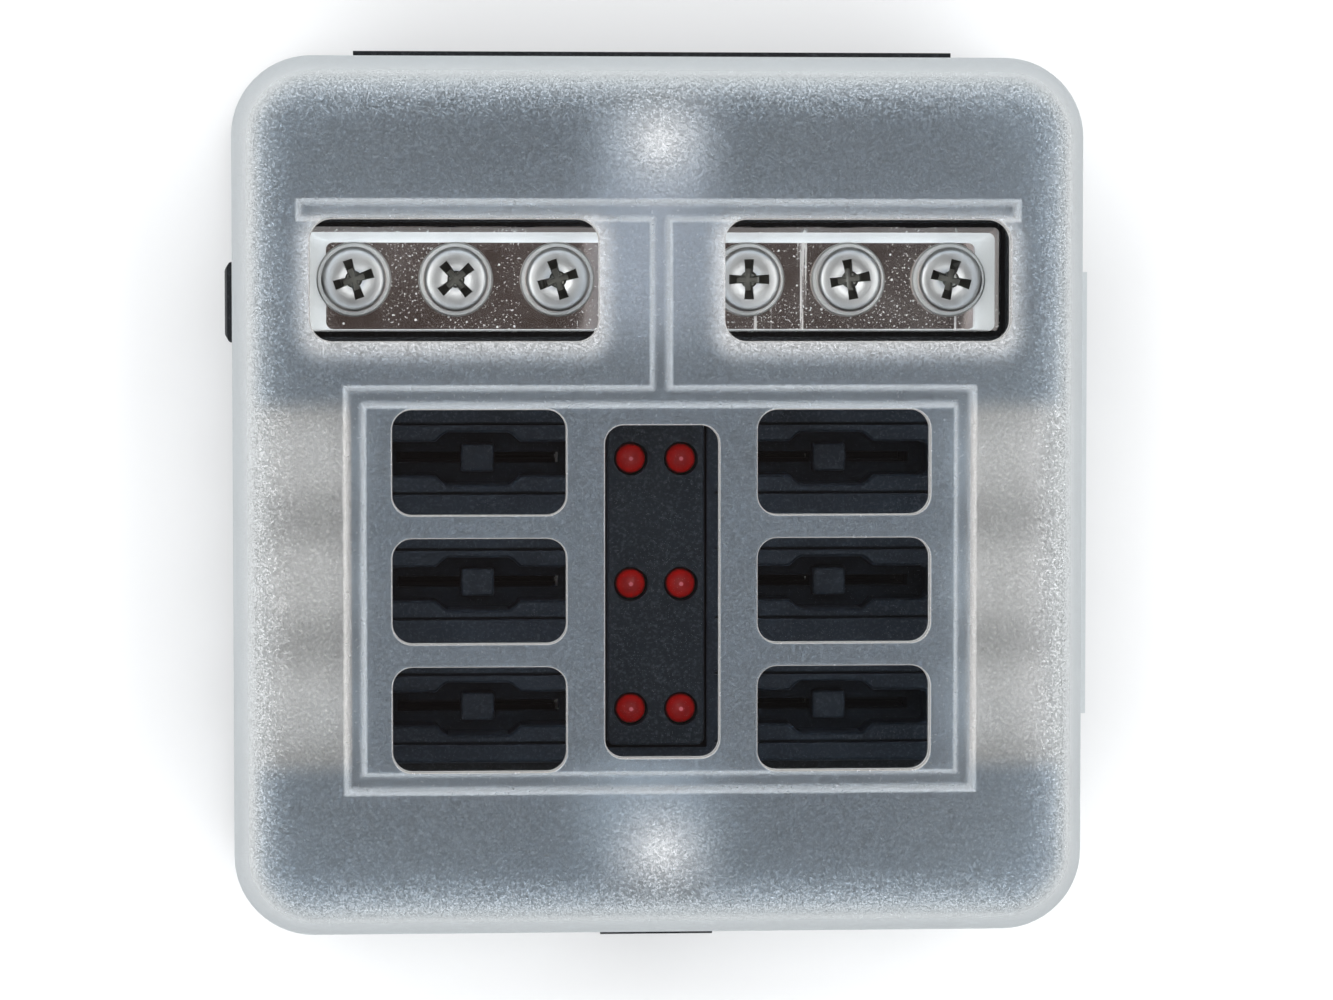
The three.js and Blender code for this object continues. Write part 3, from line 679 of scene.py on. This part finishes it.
def build_block():
    block = draft("socket_block", prism(rounded(0, -9, 57, 36, 1.5), BLOCK_FOOT, BLOCK_TOP))
    round_edges(block, 0.4, 3)
    cuts = [box(-5.15, -25.5, 19, 5.15, 7.4, 50), box(-4.5, -28, 0, 4.5, 6.5, LINK_ROOM_TOP)]
    cuts += [post(-SOCKET_X, -2.8, 1.6, 0, 20.5), post(SOCKET_X, -15.3, 1.6, 0, 20.5)]
    boolean(block, cuts)
    mouth = ((22, 0), (25.6, 0.02), (25.85, 0.12), (BLOCK_TOP, 0.28), (26.4, 0.6))
    for y in ROWS:
        cuts = [box(-16.6, y - 3.4, 0, 16.6, y + 3.4, LINK_ROOM_TOP)]
        for side in SIDES:
            x = side * SOCKET_X
            cuts.append(lofted(partial(socket_outline, x, y), mouth))
            for blade in (x - BLADE_X, x + BLADE_X):
                cuts.append(box(blade - 3.3, y - 0.55, 0, blade + 3.3, y + 0.55, 50))
                cuts.append(box(blade - 3.7, y - 1.9, 0, blade + 3.7, y + 1.9, 21))
            cuts.append(box(side * 18.9, y - 3.8, 0, side * 29.5, y + 3.8, LINK_ROOM_TOP))
            for dy in (-3.45, 3.45):
                cuts.append(box(side * 6, y + dy - 0.16, 25.3, side * 27.6, y + dy + 0.16, 27))
        boolean(block, cuts)

    def bridge_outline(x, y, g):
        return rounded(x, y, 3.0 + 2 * g, 2.5 + 2 * g, 0.3, 3)

    levels = ((21, 0.25), (23.4, 0.12), (23.55, 0.0), (23.6, -0.1))
    boolean(block, [
        lofted(partial(bridge_outline, s * SOCKET_X, y), levels) for _, s, y in WAYS
    ], "UNION")

    # painted shade: faces down in the sockets, except the bridge tops, take the darker black
    def in_socket(centre, _):
        on_bridge = abs(abs(centre.x) - SOCKET_X) < 1.6 and 23 < centre.z < 24
        return centre.z < 25.5 and not on_bridge

    paint_shade_or_highlight(block, BLOCK, BLOCK_PAINTED_SHADE, in_socket)
    piece(block, "socket_block", "base", BLOCK, ["fuse_block"])


def build_strip():
    strip = draft("strip", prism(rounded(0, -9.05, 9.7, 32.3, 0.8), 21.2, 27))
    round_edges(strip, 0.3, 3)
    cuts = [box(-4.25, -24.6, 0, 4.25, 6.5, 25)]
    cuts += [post(s * LED_X, y, 1.7, 0, 50) for _, s, y in WAYS]
    boolean(strip, cuts)
    piece(strip, "light_strip", "base", BEZEL, ["led_bezel"])
    profile = [(0, 21), (1.7, 21), (1.7, 22), (LED_RADIUS, 22)]
    profile += arc_points(0, LED_DOME, LED_RADIUS, 0, math.pi / 2, 10)[:-1]
    lens = draft("lens", turned(profile + [(0, LED_DOME + LED_RADIUS)], 32))
    for way, s, y in WAYS:
        piece(
            place(copy_of(lens, "lens"), s * LED_X, y),
            f"lens_{way}", "base", RED, [f"led_{way}"],
        )
    bpy.data.objects.remove(lens)
    board = from_cad("led_board", "board")
    piece(board, "light_board", "base", BOARD, ["led_board"])


# ------------------------------------------------------------------ metal


def thread_rings(radius, pitch, z0, z1):
    """Rings of a screw thread; it fades out over half a millimetre at the low end."""
    taper, depth = 0.5, 0.55 * pitch
    rings = []
    count = int(round((z1 - z0) / (pitch / 6)))
    for k in range(count + 1):
        z = z0 + (z1 - z0) * k / count
        ring = []
        for i in range(ROUND):
            a = 2 * math.pi * i / ROUND
            phase = (z / pitch - i / ROUND) % 1
            low = abs(2 * phase - 1) ** 1.3
            r = radius - depth * (1 - low)
            r = min(r, radius - depth + z - z0) if z - z0 < taper else r
            ring.append((r * math.cos(a), r * math.sin(a), z))
        rings.append(ring)
    return rings


def round_ring(r, z):
    return [(x, y, z) for x, y in arc_points(0, 0, r, 0, 2 * math.pi, ROUND)[:-1]]


def pan_screw(seat):
    rings = [round_ring(1.2, seat - 11)]
    rings += thread_rings(M4_RADIUS, M4_PITCH, seat - 10.9, seat - 0.35)
    rings += [round_ring(1.9, seat - 0.25), round_ring(M4_RADIUS, seat)]
    rings += [round_ring(r, seat + z) for r, z in (
        (3.05, 0), (3.2, 0.08), (3.27, 0.25), (3.27, 1.05), (3.23, 1.35), (3.14, 1.56),
        (3.02, 1.69), (2.88, 1.76), (2.65, 1.81), (2.15, 1.85), (1.95, 1.845), (1.55, 1.825),
        (1.15, 1.75), (0.9, 1.65), (0.5, 1.55),
    )]
    screw = draft("screw", skin(rings))
    top = seat + 1.85

    def wedge(turn):
        shape = []
        for z, arm, half in ((top - 1.5, 1.1, 0.3), (top + 0.3, 2.2, 0.53)):
            waist = half * 0.7
            side = [(-arm, -half), (0, -waist), (arm, -half)]
            side += [(-px, -py) for px, py in side]
            shape.append([(px, py, z) for px, py in side])
        verts, faces = skin(shape)
        spin = Matrix.Rotation(turn, 3, "Z")
        return [tuple(spin @ Vector(v)) for v in verts], faces

    pit = turned([(0, top - 0.95), (0.1, top - 1.0), (0.72, top - 0.75), (1.0, top + 0.25),
                  (0, top + 0.3)], 24)
    boolean(screw, [wedge(0), wedge(math.pi / 2), pit])

    # painted shade: faces down in the recess take the dark zinc
    def in_recess(centre, normal):
        inside = centre.xy.length < 2.1 and centre.z > seat + 0.2
        return inside and (abs(normal.z) < 0.75 or centre.z < top - 0.6)

    return paint_shade_or_highlight(screw, ZINC, RECESS_PAINTED_SHADE, in_recess)


def washer_ring(z0, z1, inner, outer, n=64):
    b = 0.1
    profile = [
        (inner + b, z0), (outer - b, z0), (outer, z0 + b), (outer, z1 - 1.6 * b),
        (outer - 1.6 * b, z1), (inner + b, z1), (inner, z1 - b), (inner, z0 + b),
    ]
    m = len(profile)
    verts, faces = [], []
    for i in range(n):
        a = 2 * math.pi * i / n
        verts += [(r * math.cos(a), r * math.sin(a), z) for r, z in profile]
    for i in range(n):
        j = (i + 1) % n
        for k in range(m):
            q = (k + 1) % m
            faces.append((i * m + k, j * m + k, j * m + q, i * m + q))
    return verts, faces


def spring_ring(z0, z1, inner, outer, n=56):
    """Split spring washer: a square wire in one turn, its ends a little apart."""
    b = 0.12
    verts, faces = [], []
    gap = math.radians(7)
    for i in range(n + 1):
        a = gap / 2 + (2 * math.pi - gap) * i / n
        for r, z in (
            (inner + b, z0), (outer - b, z0), (outer, z0 + b), (outer, z1 - b),
            (outer - b, z1), (inner + b, z1), (inner, z1 - b), (inner, z0 + b),
        ):
            verts.append((r * math.cos(a), r * math.sin(a), z))
    for i in range(n):
        for k in range(8):
            q = (k + 1) % 8
            faces.append((i * 8 + k, (i + 1) * 8 + k, (i + 1) * 8 + q, i * 8 + q))
    faces.append(tuple(reversed(range(8))))
    faces.append(tuple(n * 8 + k for k in range(8)))
    return verts, faces


def hexagon(r, z):
    """Ring of a hexagon whose corners lie on the radius r."""
    ring = []
    for i in range(ROUND):
        a = 2 * math.pi * i / ROUND
        part = a % (math.pi / 3) - math.pi / 6
        d = r * math.cos(math.pi / 6) / math.cos(part)
        ring.append((d * math.cos(a), d * math.sin(a), z))
    return ring


def build_screws():
    turns = zip(BUS_SCREW_X, BUS_SCREW_TURNS)
    buses = [(str(i + 1), x, BUS_Y, turn) for i, (x, turn) in enumerate(turns)]
    loads = [(way, s * PLATE_X, y, 25 * i) for i, (way, s, y) in enumerate(WAYS)]
    for plate, kind, spots in ((BAR_TOP, "bus", buses), (PLATE_TOP, "load", loads)):
        screw = pan_screw(plate + 0.9)
        ring = draft("ring", washer_ring(plate + 0.1, plate + 0.8, 2.2, 3.75))
        for name, x, y, turn in spots:
            node = f"{kind}_screw_{name}"
            piece(
                place(copy_of(screw, "s"), x, y, math.radians(turn)),
                f"{kind}_pan_screw_{name}", node, ZINC, [node],
            )
            node = f"{kind}_washer_{name}"
            piece(
                place(copy_of(ring, "r"), x, y),
                f"{kind}_flat_washer_{name}", node, WASHER_ZINC, [node],
            )
        bpy.data.objects.remove(screw)
        bpy.data.objects.remove(ring)


def build_studs():
    for pole, sign, plate in (("negative", 1, BAR_TOP), ("positive", -1, FEED_TOP)):
        rings = [hexagon(4.3, 4.2), hexagon(4.6, 4.5), hexagon(4.6, 7.4), hexagon(4.3, 7.7)]
        rings += [round_ring(2.5, 7.7), round_ring(2.0, 7.8)]
        rings += thread_rings(M5_RADIUS, M5_PITCH, 8.2, 31.4)
        rings += [round_ring(1.9, 31.8), round_ring(1.6, 32)]
        stud = draft("stud", skin(rings))
        node = f"{pole}_stud"
        piece(place(stud, 0, sign * STUD_Y), f"{pole}_bolt", "base", ZINC, [node])
        low = plate + 0.1
        ring = draft("ring", spring_ring(low, low + 1.2, 2.7, 4.4))
        node = f"{pole}_lock_washer"
        piece(
            place(ring, 0, sign * STUD_Y), f"{pole}_spring_washer", node,
            WASHER_ZINC, [node],
        )
        z = low + 1.3
        top = z + NUT_HEIGHT
        nut = draft("nut", skin([hexagon(NUT_RADIUS, z - 1), hexagon(NUT_RADIUS, top + 1)]))
        crown = draft("crown", turned([
            (0, z), (3.9, z), (4.62, z + 0.42), (4.62, top - 0.42), (3.9, top), (0, top),
        ], 96))
        boolean(nut, [crown], "INTERSECT")
        boolean(nut, [turned([
            (0, z - 1), (3.1, z - 0.5), (3.1, z), (2.7, z + 0.4), (2.7, top - 0.4), (3.1, top),
            (3.1, top + 0.5), (0, top + 1),
        ])])
        node = f"{pole}_nut"
        piece(place(nut, 0, sign * STUD_Y), f"{pole}_hex_nut", node, ZINC, [node])


def leaf_clip(x, y, foot):
    """Sprung clip for a fuse blade: two leaves that pinch and then flare at the mouth."""
    path = [(0.95, foot), (1.2, 16), (1.15, 17.2), (0.62, 18.6), (0.66, 19.2), (1.35, 20.6)]
    inner = [(0, foot + 0.4), (0.75, foot + 0.5), (0.78, 16), (0.74, 17), (0.2, 18.5),
             (0.22, 19.25), (0.95, 20.7)]
    right = inner + [(1.35, 20.6)] + list(reversed(path[1:-1])) + [(0.95, foot)]
    left = [(-a, b) for a, b in reversed(right[1:])]
    outline = right + left
    verts = [(x + d, y + a, z) for d in (-3.1, 3.1) for a, z in outline]
    n = len(outline)
    faces = [tuple(range(n)), tuple(reversed(range(n, 2 * n)))]
    faces += [(i, n + i, n + (i + 1) % n, (i + 1) % n) for i in range(n)]
    return verts, faces


def build_bars():
    def outline(end, back, front):
        length, width = BAR_LENGTH - 2 * end, BAR_WIDTH - back - front
        return rounded(0, BUS_Y + (front - back) / 2, length, width, 0.7, 5)

    bar = draft("bar", lofted(outline, BAR_ROLL))
    tab = draft("tab", box(-5.5, 20, 17.7, 5.5, 39.2, BAR_TOP))
    round_edges(tab, 0.3, 3)
    boolean(bar, [tab], "UNION")
    holes = [post(x, BUS_Y, 2.2, 0, 50) for x in BUS_SCREW_X] + [post(0, STUD_Y, 2.7, 0, 50)]
    boolean(bar, holes)
    # painted highlight: the sloping faces of the rolled edge take the paler nickel
    paint_shade_or_highlight(bar, NICKEL, NICKEL_PAINTED_HIGHLIGHT, lambda centre, normal: 0.3 < normal.z < 0.9995 and centre.z > 20.3)
    piece(bar, "negative_bar", "base", NICKEL, ["negative_bus"])
    feed = from_cad("positive_bus", "feed")
    round_edges(feed, 0.18, 2, 50)
    piece(feed, "positive_bar", "base", TIN, ["positive_bus"])
    for way, s, y in WAYS:
        link = from_cad(f"load_terminal_{way}", "link")
        round_edges(link, 0.12, 2, 30)
        # painted shade: the link's parts inside the block take the near-black tin
        paint_shade_or_highlight(link, TIN, TIN_PAINTED_SHADE, lambda centre, _: abs(centre.x) < 28)
        piece(link, f"load_link_{way}", "base", TIN, [f"load_terminal_{way}"])
        # painted shade: the clips take the near-black brass
        clip = draft("clip", leaf_clip(s * (SOCKET_X - BLADE_X), y, FEED_TOP + 0.1))
        piece(
            clip, f"feed_clip_{way}", "base", BRASS_PAINTED_SHADE, [f"feed_contact_{way}"]
        )
    for i in (1, 2):
        screw = from_cad(f"block_screw_{i}", "screw")
        round_edges(screw, 0.06, 1, 50)
        piece(screw, f"block_fixing_{i}", "base", ZINC, [f"block_screw_{i}"])


build_cover()
build_base()
build_block()
build_strip()
build_screws()
build_studs()
build_bars()

# ------------------------------------------------------------------ studio

floor = draft("floor", box(-2500, -2500, -20, 2500, 2500, 0))
floor.data.transform(Matrix.Scale(MM, 4))
floor.data.materials.append(pale_floor())

world = bpy.data.worlds.new("studio")
bpy.context.scene.world = world
world.use_nodes = True
sky = world.node_tree
up = sky.nodes.new("ShaderNodeSeparateXYZ")
sky.links.new(sky.nodes.new("ShaderNodeTexCoord").outputs["Generated"], up.inputs[0])
tone = sky.nodes.new("ShaderNodeValToRGB")
# brightness against height: a pale tent, open to the dark camera end overhead
TENT = (
    (0.3, rgb(0.34, 0.35, 0.37)), (0.75, rgb(0.47, 0.48, 0.49)), (0.955, rgb(0.5, 0.5, 0.5)),
    (0.983, rgb(0.05, 0.055, 0.058)), (0.9965, rgb(0.086, 0.072, 0.068)),
)
tone.color_ramp.elements.remove(tone.color_ramp.elements[0])
for height, colour in TENT[:-1]:
    tone.color_ramp.elements.new(height).color = colour
tone.color_ramp.elements[-1].position, tone.color_ramp.elements[-1].color = TENT[-1]
sky.links.new(up.outputs[2], tone.inputs[0])
sky.links.new(tone.outputs[0], sky.nodes["Background"].inputs[0])
sky.nodes["Background"].inputs[1].default_value = 1


def softbox(name, azimuth, power):
    """Wide lamp 0.9 m away and high up, facing the middle of the part."""
    elevation, distance = 64, 0.9
    lamp = bpy.data.lights.new(name, "AREA")
    lamp.shape, lamp.size, lamp.size_y, lamp.energy = "RECTANGLE", 1.0, 0.34, power
    ob = bpy.data.objects.new(name, lamp)
    bpy.context.scene.collection.objects.link(ob)
    a, e = math.radians(azimuth), math.radians(elevation)
    back = Vector((math.sin(a) * math.cos(e), -math.cos(a) * math.cos(e), math.sin(e)))
    ob.location = back * distance
    ob.rotation_euler = back.to_track_quat("Z", "Y").to_euler()


LAMPS = (("back", 180, 3), ("left", -90, 2.8), ("right", 90, 2.3), ("front", 0, 1.9))
for name, azimuth, power in LAMPS:
    softbox(f"soft_{name}", azimuth, power)

scene = bpy.context.scene
scene.view_settings.view_transform = "Standard"

# the photo's view: straight down from 0.4 m above the lid, leaning a little to one side
SENSOR, LENS = 36, 111.6
CAMERA_AT, CAMERA_AIM = Vector((-0.0248, 0.0182, 0.438)), Vector((0.0004, -0.0002, 0.038))
camera = bpy.data.cameras.new("camera")
camera.sensor_width, camera.lens = SENSOR, LENS
camera.clip_start, camera.clip_end = 0.01, 10
eye = bpy.data.objects.new("camera", camera)
scene.collection.objects.link(eye)
z = (CAMERA_AT - CAMERA_AIM).normalized()
x = Vector((0, 1, 0)).cross(z).normalized()
turn = Matrix((x, z.cross(x), z)).transposed().to_4x4()
eye.matrix_world = Matrix.Translation(CAMERA_AT) @ turn
scene.camera = eye
